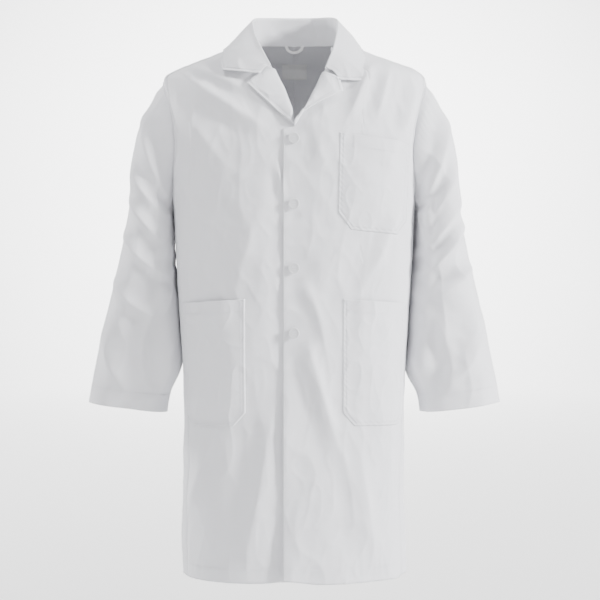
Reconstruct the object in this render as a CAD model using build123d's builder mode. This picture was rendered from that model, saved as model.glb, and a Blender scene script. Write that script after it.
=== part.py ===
"""Lab coat with a notched collar, four buttons and three patch pockets, shaped as it hangs when worn.

Millimetres. +Z is up, the front of the coat faces -Y, and the wearer's left is +X. The origin is midway
between the two points where the shoulder seams meet the neck. Cloth is drawn thicker than it is, so that
every panel is a sound solid.
"""

from build123d import *
from math import cos, pi, sin
import os

os.makedirs("parts", exist_ok=True)

# ---- driving dimensions --------------------------------------------------------------------------
HEM = -1004.0  # height of the bottom edge
CLOTH = 1.2  # drawn thickness of one layer of cloth
LINING = 1.0  # drawn thickness of a facing, hem or seam tape
AIR = 0.3  # gap between two layers that lie on each other
UNDERLAP = 3.2  # how far the right front lies behind the left one where they overlap
LAP = 20.0  # each front runs this far past the centre line
EDGE_GAP = 0.6  # gap along the left front's edge and round the swinging front
CHEST_Z = -175.0  # the left front swings below this height; above it hangs from the shoulder
FRONT_SEAM_Y = -45.0  # the fronts meet the backs in this plane, just ahead of the sides
FACING = 66.0  # how far a facing reaches to the side of the centre line
HEM_DEPTH = 28.0
FORM_POWER = 2.5  # the level sections are superellipses of this power

# Height, half width, depth to the front and depth to the back of the coat's form.
BODY = [
    (0, 88, 56, 63),
    (-30, 161, 77, 79),
    (-60, 236, 93, 90),
    (-72, 247, 97, 93),
    (-110, 242, 109, 101),
    (-200, 232, 126, 112),
    (-310, 228, 130, 118),
    (-400, 224, 131, 120),
    (-480, 219, 132, 122),
    (-600, 211, 132, 125),
    (-720, 204, 133, 128),
    (HEM, 206, 136, 133),
]
SHOULDER_Z = -72.0  # the sections from here up make the sloping shoulders

NECK_WIDTH = 80.0  # half width of the neck opening
NECK_DEPTH = 56.0  # half depth of the neck opening
V_WIDTH = 74.0  # half width of the V at its top
BREAK_Z = -165.0  # where the two roll lines meet
NECK_RIM = 0.8  # the collar starts this far above the neck's edge
COLLAR_LAYER = 1.4
COLLAR_CLEFT = 0.4  # half of the gap between the collar's stand and its fall
STAND_STATIONS = 6  # the stand ends at this many stations from the centre back
LAPEL_LIFT = 3.4  # the lapels lie this far off the chest
LAPEL_LAYER = 1.2

# The collar's stations from the centre back to the notch on the wearer's left. Each has the point where
# the collar is sewn to the neck, the one where it folds over, and the one on its outer edge.
COLLAR = [
    ((0, 60, NECK_RIM), (0, 57, 50), (0, 80, -16)),
    ((44, 48, NECK_RIM), (42, 50, 50), (60, 76, -16)),
    ((72, 26, NECK_RIM), (68, 30, 48), (106, 46, -10)),
    ((81, 2, NECK_RIM), (78, 2, 40), (122, 6, -9)),
    ((79, -26, NECK_RIM), (79, -28, 24), (131, -40, -16)),
    ((83, -46, 1), (78, -53, 13), (136, -70, -37)),
    ((79, -80, -27), (71, -86, -21), (137, -95, -71)),
    ((68, -96, -53), (60, -100, -47), (84, -107, -76)),
]
LAPEL = [(60, -66), (83, -87), (90, -102), (19, -141), (1, BREAK_Z)]  # across and height
ROLL_STRIP = [(60, -66), (64, -68), (5, BREAK_Z), (1, BREAK_Z)]

BUTTON_Z = [-188.0, -308.0, -426.0, -544.0]
BUTTON_R = 10.0
BUTTON_THICK = 3.2
BUTTON_DISH = 0.8  # depth of the hollow in a button's face
BUTTON_STAND = 2.4  # gap between the left front and a button's back
HOLE_R = 1.1
HOLE_PITCH = 4.4
THREAD_R = 0.7
SHANK_R = 1.2
SLOT_X = (-3.0, 19.0)  # a buttonhole's two ends
SLOT_HALF = 1.6

POCKET_ROOM = 11.0  # depth inside a pocket
POCKET_WALL = 1.6
# Outlines as across and height on the wearer's left, from the top inner corner.
CHEST_POCKET = [(83, -178), (214, -195), (208, -340), (189, -365), (104, -356), (80, -324)]
LOWER_POCKET = [(89, -482), (208, -491), (199, -703), (188, -718), (110, -715), (88, -690)]
TACK = 9.0  # length of a bar tack

ARMHOLE_Y, ARMHOLE_Z = 8.0, -192.0
ARMHOLE_HALF_DEPTH, ARMHOLE_HALF_HEIGHT = 60.0, 112.0

# A sleeve's sections: inner and outer ends (across, height), half depth, and the middle's Y.
SLEEVE = [
    ((236, -296), (254, -76), 67, 8),
    ((238, -326), (296, -186), 74, 9),
    ((234, -352), (314, -322), 74, 10),
    ((229, -452), (340, -444), 68, 8),
    ((225, -566), (365, -554), 60, 4),
    ((238, -700), (388, -682), 47, -2),
]
CUFF_HEM_Z = -668.0  # the turned-up cuff starts at this height

VENT_TOP = -640.0
VENT_LAP = 36.0

LOOP_Y = 52.5  # the hanger loop hangs in this plane, inside the back of the neck
LOOP_HALF, LOOP_DROP, LOOP_BAND = 18.0, 16.0, 5.0
LOOP_THICK = 1.2


# ---- shared forms --------------------------------------------------------------------------------
def superellipse(half_width, front, back, power=FORM_POWER, steps=24):
    """Points round one section: front is its depth towards -Y and back its depth towards +Y."""
    points = []
    for i in range(steps):
        turn = 2 * pi * i / steps
        across, along = cos(turn), sin(turn)
        x = half_width * abs(across) ** (2 / power) * (1 if across >= 0 else -1)
        depth = back if along >= 0 else front
        y = depth * abs(along) ** (2 / power) * (1 if along >= 0 else -1)
        points.append((x, y))
    return points


def body_form(grow):
    """The coat's solid outer form, grown by grow on every side but the bottom."""
    with BuildPart() as form:
        for z, half_width, front, back in reversed(BODY):
            lift = grow if z >= SHOULDER_Z else 0
            with BuildSketch(Plane.XY.offset(z + lift)):
                with BuildLine():
                    Spline(*superellipse(half_width + grow, front + grow, back + grow), periodic=True)
                make_face()
        loft(ruled=True)
    return form.part


FORMS = {}


def form(grow):
    """A body form, made once for each growth."""
    key = round(grow, 2)
    if key not in FORMS:
        FORMS[key] = body_form(key)
    return FORMS[key]


def skin(outer, inner):
    """Adds the layer between two growths of the form to the part being built."""
    add(form(outer))
    add(form(inner), mode=Mode.SUBTRACT)


def front_depth(z):
    """How far the form's front stands from the origin on the centre line at a height."""
    for (high, _, near, _), (low, _, far, _) in zip(BODY, BODY[1:]):
        if low <= z <= high:
            return near + (far - near) * (high - z) / (high - low)
    return BODY[-1][2]


def keep_outline(points, front=True):
    """Keeps what lies behind an outline drawn on the XZ plane, on the front or the back of the coat."""
    with BuildSketch(Plane.XZ) as outline:
        with BuildLine():
            Polyline(*points, close=True)
        make_face()
    extrude(outline.sketch, amount=300 if front else -300, mode=Mode.INTERSECT)


def box(x, y, z, mode):
    """A box given by its low and high limits, combined with the part by mode."""
    middle = tuple((low + high) / 2 for low, high in (x, y, z))
    with Locations(middle):
        Box(x[1] - x[0], y[1] - y[0], z[1] - z[0], mode=mode)


def both(side, low, high):
    """A span across the coat on the wearer's left (side 1), or its mirror image on the right (-1)."""
    return (low, high) if side > 0 else (-high, -low)


def mirrored(points, side):
    """An outline of the wearer's left, carried to the right when side is -1."""
    return [(side * x, z) for x, z in points]


def cut_neck():
    """Cuts the neck opening: an oval hole, and the V that runs down to the break point."""
    with BuildSketch(Plane.XY.offset(-40)) as oval:
        Ellipse(NECK_WIDTH, NECK_DEPTH)
    extrude(oval.sketch, amount=100, mode=Mode.SUBTRACT)
    with BuildSketch(Plane.XZ) as vee:
        with BuildLine():
            Polyline((-V_WIDTH, 60), (-V_WIDTH, -8), (0, BREAK_Z), (V_WIDTH, -8), (V_WIDTH, 60), close=True)
        make_face()
    extrude(vee.sketch, amount=300, mode=Mode.SUBTRACT)


def cut_armholes():
    """Cuts the openings that the sleeves are sewn to."""
    with BuildSketch(Plane.YZ.offset(-300)) as hole:
        with Locations((ARMHOLE_Y, ARMHOLE_Z)):
            Ellipse(ARMHOLE_HALF_DEPTH, ARMHOLE_HALF_HEIGHT)
    extrude(hole.sketch, amount=600, mode=Mode.SUBTRACT)


def save(piece, label):
    """Labels a finished piece and writes its file."""
    piece.part.label = label
    export_step(piece.part, f"parts/{label}.step")


# ---- back ----------------------------------------------------------------------------------------
def back(label, side):
    """One back, from the centre seam round to the seam at the front of the side."""
    with BuildPart() as piece:
        skin(0, -CLOTH)
        with BuildSketch(Plane.YZ):
            with BuildLine():
                Polyline((0, 60), (300, 60), (300, HEM), (FRONT_SEAM_Y, HEM), (FRONT_SEAM_Y, CHEST_Z),
                         (0, CHEST_Z), close=True)
            make_face()
        extrude(amount=side * 300, mode=Mode.INTERSECT)
        cut_neck()
        cut_armholes()
    save(piece, label)


def vent_underlap():
    """The strip of the right back that lies under the left one in the vent."""
    depth = -CLOTH - AIR
    bottom = HEM + HEM_DEPTH + 2
    with BuildPart() as piece:
        skin(depth, depth - LINING)
        keep_outline([(-4, VENT_TOP), (VENT_LAP, VENT_TOP - 20), (VENT_LAP, bottom), (-4, bottom)], front=False)
    save(piece, "vent_underlap")


back("back_left", 1)
back("back_right", -1)
vent_underlap()


# ---- fronts --------------------------------------------------------------------------------------
def chest(label, side):
    """The top of one front, which hangs from the shoulder: neck, armhole and roll line."""
    with BuildPart() as piece:
        skin(0, -CLOTH)
        box(both(side, 0.4, 300), (-300, -0.1), (CHEST_Z + EDGE_GAP / 2, 60), Mode.INTERSECT)
        cut_neck()
        cut_armholes()
    save(piece, label)


def buttonholes():
    """Cuts the four slots."""
    for z in BUTTON_Z:
        box(SLOT_X, (-300, 0), (z - SLOT_HALF, z + SLOT_HALF), Mode.SUBTRACT)


FRONT_TOP = CHEST_Z - EDGE_GAP / 2
FRONT_SIDE = (-300, FRONT_SEAM_Y - EDGE_GAP)


def left_front():
    """The lower left front, which laps over the right one and carries the buttonholes."""
    with BuildPart() as piece:
        skin(0, -CLOTH)
        box((-LAP, 300), FRONT_SIDE, (HEM, FRONT_TOP), Mode.INTERSECT)
        buttonholes()
    save(piece, "front_left")


def right_front():
    """The lower right front, which steps back to pass under the left one."""
    edge = -LAP - EDGE_GAP
    height = (HEM, FRONT_TOP)
    with BuildPart() as strip:
        skin(-UNDERLAP, -UNDERLAP - CLOTH)
        box((edge - CLOTH, LAP), FRONT_SIDE, height, Mode.INTERSECT)
    with BuildPart() as step:
        skin(0, -UNDERLAP - CLOTH)
        box((edge - CLOTH, edge), FRONT_SIDE, height, Mode.INTERSECT)
    with BuildPart() as piece:
        skin(0, -CLOTH)
        box((-300, edge), FRONT_SIDE, height, Mode.INTERSECT)
        add(step.part)
        add(strip.part)
    save(piece, "front_right")


def facing(label, side):
    """The strip that backs a front's edge, with the buttonholes cut through the left one."""
    depth = -CLOTH - AIR if side > 0 else -UNDERLAP - CLOTH - AIR
    with BuildPart() as piece:
        skin(depth, depth - LINING)
        box(both(side, -LAP + 1, FACING), (-300, -70), (HEM + 1, FRONT_TOP - 1), Mode.INTERSECT)
        if side > 0:
            buttonholes()
    save(piece, label)


def hem(label, x, y):
    """A hem turned up inside the coat over a span across and a span in depth."""
    depth = -CLOTH - AIR
    with BuildPart() as piece:
        skin(depth, depth - LINING)
        box(x, y, (HEM + 1, HEM + HEM_DEPTH), Mode.INTERSECT)
    save(piece, label)


chest("front_left_chest", 1)
chest("front_right_chest", -1)
left_front()
right_front()
facing("facing_left", 1)
facing("facing_right", -1)
hem("hem_front_left", (FACING + 1, 300), (-300, FRONT_SEAM_Y - 2))
hem("hem_front_right", (-300, -FACING - 1), (-300, FRONT_SEAM_Y - 2))
hem("hem_back", (-300, 300), (FRONT_SEAM_Y + 2, 300))


# ---- seams ---------------------------------------------------------------------------------------
def seam(label, x, y, z):
    """A raised line of doubled cloth along a seam."""
    with BuildPart() as piece:
        skin(0.8, 0.05)
        box(x, y, z, Mode.INTERSECT)
    save(piece, label)


for side, word in ((1, "left"), (-1, "right")):
    seam(f"shoulder_seam_{word}", both(side, 126, 240), (1, 4), (-72, 20))
    seam(f"side_seam_{word}", both(side, 150, 300), (FRONT_SEAM_Y + 1, FRONT_SEAM_Y + 4), (HEM + 1, -320))
seam("back_seam", (0.2, 2.4), (60, 300), (HEM + 1, -40))


# ---- pockets -------------------------------------------------------------------------------------
def pocket_room(outline):
    """A pocket's room: its outline less the side and bottom walls, and open at the top."""
    middle = sum(x for x, _ in outline) / len(outline)
    points = []
    for i, (x, z) in enumerate(outline):
        inward = POCKET_WALL if x < middle else -POCKET_WALL
        points.append((x + inward, z + (10 if i < 2 else POCKET_WALL)))
    return points


def pocket(label, outline, side):
    """A patch pocket: cloth held off the front on three sides and open at the top."""
    with BuildPart() as room:
        skin(POCKET_ROOM, -2)
        keep_outline(mirrored(pocket_room(outline), side))
    with BuildPart() as piece:
        skin(POCKET_ROOM + POCKET_WALL, 0.05)
        keep_outline(mirrored(outline, side))
        add(room.part, mode=Mode.SUBTRACT)
    save(piece, label)
    (inner_x, inner_z), (outer_x, outer_z) = outline[:2]
    height = (inner_z - 7, inner_z - 4)
    with BuildPart() as tacks:
        skin(POCKET_ROOM + POCKET_WALL + 0.8, POCKET_ROOM + POCKET_WALL + 0.05)
        keep_outline(mirrored([(inner_x + 1, height[0]), (inner_x + 1 + TACK, height[0]),
                               (inner_x + 1 + TACK, height[1]), (inner_x + 1, height[1])], side))
    save(tacks, f"{label}_tack")


pocket("chest_pocket", CHEST_POCKET, 1)
pocket("lower_pocket_left", LOWER_POCKET, 1)
pocket("lower_pocket_right", LOWER_POCKET, -1)


# ---- collar and lapels ---------------------------------------------------------------------------
def strip_section(start, end, other):
    """A section of one half of the collar, from start to end, lying on the side away from other."""
    start, end, other = Vector(*start), Vector(*end), Vector(*other)
    along = (end - start).normalized()
    away = start - other
    plane = Plane(origin=start, x_dir=along, z_dir=along.cross(away))
    length = (end - start).length
    with BuildSketch(plane) as section:
        with Locations((length / 2, COLLAR_CLEFT + COLLAR_LAYER / 2)):
            Rectangle(length, COLLAR_LAYER)
    return section.sketch


def all_round(stations):
    """The stations of the wearer's left, with their mirror images before them."""
    return [tuple((-x, y, z) for x, y, z in station) for station in stations[:0:-1]] + stations


def collar():
    """The collar's stand, up from the neck to the fold, and its fall, down to the outer edge."""
    with BuildPart() as stand:
        loft([strip_section(fold, neck, edge) for neck, fold, edge in all_round(COLLAR[:STAND_STATIONS])])
    save(stand, "collar_stand")
    with BuildPart() as fall:
        loft([strip_section(fold, edge, neck) for neck, fold, edge in all_round(COLLAR)])
    save(fall, "collar_fall")


def lapel(label, side):
    """A lapel turned back onto the chest and joined to it along the roll line."""
    with BuildPart() as roll:
        skin(LAPEL_LIFT + LAPEL_LAYER, 0.05)
        keep_outline(mirrored(ROLL_STRIP, side))
    with BuildPart() as piece:
        skin(LAPEL_LIFT + LAPEL_LAYER, LAPEL_LIFT)
        keep_outline(mirrored(LAPEL, side))
        add(roll.part)
    save(piece, label)


collar()
lapel("lapel_left", 1)
lapel("lapel_right", -1)

with BuildPart() as neck_label:
    skin(-CLOTH - AIR, -CLOTH - AIR - 0.6)
    box((-24, 24), (0, 300), (-62, -34), Mode.INTERSECT)
save(neck_label, "neck_label")

with BuildPart() as hanger_loop:
    with BuildSketch(Plane.XZ.offset(-LOOP_Y - LOOP_THICK / 2)):
        Ellipse(LOOP_HALF, LOOP_DROP)
        Ellipse(LOOP_HALF - LOOP_BAND, LOOP_DROP - LOOP_BAND, mode=Mode.SUBTRACT)
        with Locations((0, LOOP_DROP / 2)):
            Rectangle(3 * LOOP_HALF, LOOP_DROP, mode=Mode.SUBTRACT)
    extrude(amount=LOOP_THICK)
save(hanger_loop, "hanger_loop")


# ---- sleeves -------------------------------------------------------------------------------------
def sleeve_section(side, section, shrink):
    """One section of a sleeve, shrunk all round by shrink."""
    (in_x, in_z), (out_x, out_z), half_depth, middle_y = section
    inner, outer = Vector(side * in_x, middle_y, in_z), Vector(side * out_x, middle_y, out_z)
    along = (outer - inner).normalized()
    plane = Plane(origin=(inner + outer) * 0.5, x_dir=along, z_dir=along.cross(Vector(0, 1, 0)))
    half_width = (outer - inner).length / 2 - shrink
    with BuildSketch(plane) as outline:
        with BuildLine():
            Spline(*superellipse(half_width, half_depth - shrink, half_depth - shrink, power=2), periodic=True)
        make_face()
    return outline.sketch


def sleeve_wall(side, outside, inside):
    """The wall between two shrinkages of a sleeve, made one stretch at a time."""
    with BuildPart() as wall:
        for upper, lower in zip(SLEEVE, SLEEVE[1:]):
            with BuildPart(mode=Mode.PRIVATE) as core:
                loft([sleeve_section(side, end, inside) for end in (lower, upper)], ruled=True)
            with BuildPart(mode=Mode.PRIVATE) as stretch:
                loft([sleeve_section(side, end, outside) for end in (lower, upper)], ruled=True)
                add(core.part, mode=Mode.SUBTRACT)
            add(stretch.part)
    return wall.part


def sleeve(label, side):
    """A sleeve and the hem turned up inside its cuff."""
    with BuildPart() as piece:
        add(sleeve_wall(side, 0, CLOTH))
    save(piece, label)
    with BuildPart() as cuff:
        add(sleeve_wall(side, CLOTH + AIR, CLOTH + AIR + LINING))
        box((-400, 400), (-200, 200), (-800, CUFF_HEM_Z), Mode.INTERSECT)
    save(cuff, label.replace("sleeve", "sleeve_hem"))


sleeve("sleeve_left", 1)
sleeve("sleeve_right", -1)


# ---- buttons -------------------------------------------------------------------------------------
def button(number, z):
    """A four-hole button, and the stitches that cross its face."""
    back_y = -front_depth(z) - BUTTON_STAND
    face_y = back_y - BUTTON_THICK + BUTTON_DISH
    with BuildPart() as disc:
        with BuildSketch(Plane.XZ.offset(-back_y)):
            with Locations((0, z)):
                Circle(BUTTON_R)
        extrude(amount=BUTTON_THICK)
        fillet(disc.edges(), radius=0.8)
        with BuildSketch(Plane.XZ.offset(-face_y)):
            with Locations((0, z)):
                Circle(BUTTON_R - 2.4)
        extrude(amount=BUTTON_THICK, mode=Mode.SUBTRACT)
        with BuildSketch(Plane.XZ):
            with Locations((0, z)):
                with GridLocations(HOLE_PITCH, HOLE_PITCH, 2, 2):
                    Circle(HOLE_R)
        extrude(amount=300, mode=Mode.SUBTRACT)
    save(disc, f"button_{number}")
    with BuildPart() as stitches:
        with BuildSketch(Plane.XZ.offset(-back_y - 0.4)):
            with Locations((0, z)):
                with GridLocations(HOLE_PITCH, HOLE_PITCH, 2, 2):
                    Circle(THREAD_R)
        extrude(amount=back_y - 0.4 - face_y + 0.3)
        with BuildSketch(Plane.XZ.offset(-face_y + 0.3)):
            with Locations((0, z)):
                with GridLocations(1, HOLE_PITCH, 1, 2):
                    Rectangle(HOLE_PITCH + 2 * THREAD_R, 2 * THREAD_R)
        extrude(amount=0.6)
    save(stitches, f"button_stitches_{number}")


for number, z in enumerate(BUTTON_Z, start=1):
    button(number, z)

with BuildPart() as button_shanks:
    for z in BUTTON_Z:
        start = front_depth(z) - UNDERLAP + 0.3
        with BuildSketch(Plane.XZ.offset(start)):
            with Locations((0, z)):
                Circle(SHANK_R)
        extrude(amount=UNDERLAP + BUTTON_STAND - 0.7)
save(button_shanks, "button_shanks")
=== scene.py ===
"""Lab coat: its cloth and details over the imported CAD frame.

Metres, in the CAD's frame: +Z is up, the coat's front faces -Y and the wearer's left is +X. Every sheet of
cloth is laid on one smooth form measured from the CAD panels, and then folded, so neighbouring pieces stay
together along their seams.
"""

import math

import bmesh
import bpy
import numpy as np
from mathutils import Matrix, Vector, noise


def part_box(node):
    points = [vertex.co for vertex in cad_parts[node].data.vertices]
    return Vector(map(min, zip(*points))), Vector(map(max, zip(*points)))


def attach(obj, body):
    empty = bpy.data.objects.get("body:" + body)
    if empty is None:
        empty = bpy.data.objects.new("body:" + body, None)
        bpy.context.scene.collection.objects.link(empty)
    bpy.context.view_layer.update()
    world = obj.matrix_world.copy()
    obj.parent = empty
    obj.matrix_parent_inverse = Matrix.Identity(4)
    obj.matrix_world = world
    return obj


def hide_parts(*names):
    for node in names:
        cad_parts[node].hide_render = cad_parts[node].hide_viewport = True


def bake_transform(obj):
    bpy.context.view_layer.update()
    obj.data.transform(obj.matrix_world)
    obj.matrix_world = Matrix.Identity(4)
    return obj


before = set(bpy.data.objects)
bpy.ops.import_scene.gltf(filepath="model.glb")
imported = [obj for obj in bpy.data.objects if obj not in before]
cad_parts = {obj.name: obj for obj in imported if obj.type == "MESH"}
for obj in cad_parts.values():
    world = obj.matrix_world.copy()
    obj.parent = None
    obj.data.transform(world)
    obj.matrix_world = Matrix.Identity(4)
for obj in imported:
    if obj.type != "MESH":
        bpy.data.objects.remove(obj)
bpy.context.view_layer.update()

MM = 0.001
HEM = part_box("back_left")[0][2]
BUTTONS = [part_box(f"button_{i}") for i in range(1, 5)]
BUTTON_Z = [(low[2] + high[2]) / 2 for low, high in BUTTONS]
EDGE_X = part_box("front_left")[0][0]  # the left front's edge, past the centre line
SIDE_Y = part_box("front_left")[1][1]  # the fronts meet the backs in this plane
BREAK_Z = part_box("lapel_left")[0][2]  # where the two roll lines meet

CLOTH = 0.7 * MM  # thickness of one layer
POWER = 2.5  # the form's level sections are superellipses of this power
ROWS = 230  # rows of the fronts' and backs' grids, from top to hem
HOLE_SCALE = 0.94  # the cloth is cut this share inside the armhole's seam
SIDES = ((1, "left"), (-1, "right"))


# ---- curves --------------------------------------------------------------------------------------
def smooth_step(low, high, value):
    """0 below low, 1 above high, and a smooth rise between them."""
    t = np.clip((value - low) / (high - low), 0, 1)
    return t * t * (3 - 2 * t)


def bump(value, middle, width):
    """A smooth hill of height 1."""
    return np.exp(-(((value - middle) / width) ** 2))


def curve(keys, values, at):
    """A smooth curve through values at keys, without overshoot, read at the points asked for."""
    keys, values, at = np.asarray(keys, float), np.asarray(values, float), np.asarray(at, float)
    flat = values.reshape(len(keys), -1)
    step = np.diff(keys)[:, None]
    slope = np.diff(flat, axis=0) / step
    tangent = np.zeros_like(flat)
    tangent[1:-1] = np.where(slope[:-1] * slope[1:] > 0,
                             2 * slope[:-1] * slope[1:] / (slope[:-1] + slope[1:] + 1e-30), 0)
    tangent[0], tangent[-1] = slope[0], slope[-1]
    i = np.clip(np.searchsorted(keys, at, side="right") - 1, 0, len(keys) - 2)
    h = step[i]
    t = np.clip((at - keys[i])[..., None] / h, 0, 1)
    out = ((2 * t**3 - 3 * t**2 + 1) * flat[i] + (t**3 - 2 * t**2 + t) * h * tangent[i]
           + (3 * t**2 - 2 * t**3) * flat[i + 1] + (t**3 - t**2) * h * tangent[i + 1])
    return out.reshape(at.shape + values.shape[1:])


def travelled(path):
    """Distance along a path of points, at each of them."""
    return np.concatenate([[0], np.cumsum(np.linalg.norm(np.diff(path, axis=0), axis=1))])


def waves(points, size, seed):
    """Smooth noise at points, one value each, about -1 to 1."""
    offset = Vector((seed * 7.31, seed * 3.17, seed * 1.73))
    flat = points.reshape(-1, 3) / size
    out = [noise.noise(Vector(p) + offset) for p in flat]
    return np.array(out).reshape(points.shape[:-1])


def creases(points, size, seed, power, squash=1.0):
    """Narrow crests of height 1 that wander over the cloth, drawn out in height as squash falls."""
    return (1 - np.abs(waves(points * np.array([1.0, 1.0, squash]), size, seed))) ** power


# ---- the form under the cloth --------------------------------------------------------------------
def measured_form():
    """Half width, depth to the front and depth to the back at each of the CAD's section heights, fitted to
    the panels' own vertices."""
    names = ("back_left", "back_right", "front_left", "front_right", "front_left_chest", "front_right_chest")
    points = []
    for name in names:
        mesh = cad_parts[name].data
        co = np.zeros(len(mesh.vertices) * 3)
        mesh.vertices.foreach_get("co", co)
        points.append(co.reshape(-1, 3))
    points = np.concatenate(points)
    rows = []
    for height in (0, -0.03, -0.06, -0.072, -0.11, -0.2, -0.31, -0.4, -0.48, -0.6, -0.72, HEM):
        level = points[np.abs(points[:, 2] - height) < 0.2 * MM]
        x, y = np.abs(level[:, 0]) ** POWER, np.abs(level[:, 1]) ** POWER
        terms = np.stack([x, np.where(level[:, 1] < 0, y, 0), np.where(level[:, 1] < 0, 0, y)], axis=1)
        for _ in range(2):
            found = np.linalg.lstsq(terms, np.ones(len(terms)), rcond=None)[0]
            terms = terms[terms @ found > 0.999]
        rows.append((height, *(found ** (-1 / POWER))))
    return np.array(rows)


SECTIONS = measured_form()
PROFILE = np.concatenate([[0], np.cumsum(np.hypot(np.diff(SECTIONS[:, 0]), np.diff(SECTIONS[:, 1])))])
DENSE = curve(PROFILE, SECTIONS, np.linspace(0, PROFILE[-1], 600))


def section(z):
    """Half width, front depth and back depth at heights."""
    return [np.interp(-np.asarray(z, float), -DENSE[:, 0], DENSE[:, k]) for k in (1, 2, 3)]


def heights(top, bottom, count):
    """Heights from top to bottom, evenly spaced along the form's side."""
    along = np.linspace(0, PROFILE[-1], 600)
    low, high = np.interp([-top, -bottom], -DENSE[:, 0], along)
    return np.interp(np.linspace(low, high, count), along, DENSE[:, 0])


def outward(points):
    """The form's outward direction at points on it."""
    x, y, z = points[..., 0], points[..., 1], points[..., 2]
    a, front, back = section(z)
    depth = np.where(y < 0, front, back)
    up, down = section(z + 2 * MM), section(z - 2 * MM)
    rise = [(u - d) / (4 * MM) for u, d in zip(up, down)]
    depth_rise = np.where(y < 0, rise[1], rise[2])
    across, along = np.abs(x) / a, np.abs(y) / depth
    n = np.stack([np.sign(x) * across ** (POWER - 1) / a, np.sign(y) * along ** (POWER - 1) / depth,
                  -(across**POWER) * rise[0] / a - along**POWER * depth_rise / depth], axis=-1)
    return n / np.linalg.norm(n, axis=-1, keepdims=True)


# ---- folds ---------------------------------------------------------------------------------------
def ridge(x, z, start, end, width, height, lean=0.5, bow=0.0):
    """One soft fold along a line seen from the front or back. It rises steeply on one side and falls away
    on the other, and dies out at both ends. bow bends it to one side."""
    (x0, z0), (x1, z1) = start, end
    length = math.hypot(x1 - x0, z1 - z0)
    along = ((x - x0) * (x1 - x0) + (z - z0) * (z1 - z0)) / length**2
    off = ((x - x0) * (z1 - z0) - (z - z0) * (x1 - x0)) / length
    off = off + bow * length * (along - along**2)
    taper = smooth_step(-0.25, 0.35, along) * (1 - smooth_step(0.6, 1.2, along))
    w = np.where(off > 0, width * (1 + lean), width * (1 - lean))
    crest = np.exp(-np.abs(off / w) ** 1.45)
    valley = 0.45 * np.exp(-(((off - 1.9 * width) / (1.1 * width)) ** 2))
    return height * taper * (crest - valley)


# Folds of the fronts, as seen: start, end, width, height and lean, in metres.
FRONT_FOLDS = [
    ((-0.215, -0.062), (-0.060, -0.165), 0.016, 0.0052, 0.35),
    ((-0.190, -0.050), (-0.085, -0.100), 0.009, 0.0028, -0.3),
    ((-0.228, -0.105), (-0.120, -0.245), 0.022, 0.0034, 0.3),
    ((0.139, -0.060), (0.100, -0.150), 0.013, 0.0046, -0.35),
    ((0.176, -0.062), (0.152, -0.150), 0.011, 0.0036, 0.35),
    ((0.226, -0.085), (0.203, -0.170), 0.011, 0.0042, 0.3),
    ((-0.184, -0.140), (-0.193, -0.320), 0.0026, 0.0011, 0.0),
    ((-0.030, -0.240), (-0.012, -0.320), 0.008, 0.0024, 0.2),
    ((0.030, -0.165), (0.062, -0.250), 0.014, 0.0020, 0.2),
    ((0.020, -0.545), (0.082, -0.760), 0.017, 0.0046, 0.4),
    ((0.012, -0.430), (0.065, -0.560), 0.014, 0.0020, 0.2),
    ((-0.040, -0.700), (-0.085, -0.960), 0.020, 0.0044, -0.3),
    ((-0.150, -0.745), (-0.205, -0.900), 0.013, 0.0030, 0.3),
    ((-0.070, -0.330), (-0.110, -0.480), 0.022, 0.0022, 0.2),
    ((0.120, -0.760), (0.150, -0.975), 0.022, 0.0046, 0.3),
    ((0.170, -0.380), (0.120, -0.470), 0.018, 0.0030, -0.2),
    ((0.200, -0.300), (0.150, -0.420), 0.012, 0.0022, 0.2),
]
BACK_FOLDS = [
    ((-0.200, -0.085), (-0.080, -0.200), 0.018, 0.0048, 0.3),
    ((0.200, -0.085), (0.085, -0.190), 0.018, 0.0046, -0.3),
    ((-0.215, -0.240), (-0.120, -0.330), 0.015, 0.0042, 0.3),
    ((0.215, -0.250), (0.110, -0.350), 0.015, 0.0042, -0.3),
    ((-0.060, -0.300), (-0.095, -0.620), 0.024, 0.0046, 0.2),
    ((0.070, -0.330), (0.100, -0.640), 0.024, 0.0044, -0.2),
    ((-0.120, -0.600), (-0.150, -0.980), 0.024, 0.0060, 0.2),
    ((0.125, -0.620), (0.150, -0.985), 0.024, 0.0060, -0.2),
    ((-0.150, -0.430), (-0.060, -0.500), 0.014, 0.0034, 0.2),
    ((0.150, -0.450), (0.060, -0.520), 0.014, 0.0034, -0.2),
    ((-0.070, -0.040), (0.070, -0.048), 0.010, 0.0020, 0.0),
]


def quiet_round_buttons(x, z):
    """0 where a button must stand clear of the cloth, rising to 1 away from it."""
    calm = np.ones_like(x)
    for height in BUTTON_Z:
        calm = calm * smooth_step(0.013, 0.050, np.hypot(x - 3 * MM, z - height))
    return calm


FOLD_GAIN = 1.95  # every fold's height is this many times the one listed


def beside_sleeve(z):
    """1 at the heights where a hanging sleeve presses against the coat's side."""
    return smooth_step(-0.285, -0.33, z) * (1 - smooth_step(-0.60, -0.67, z))


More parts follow.
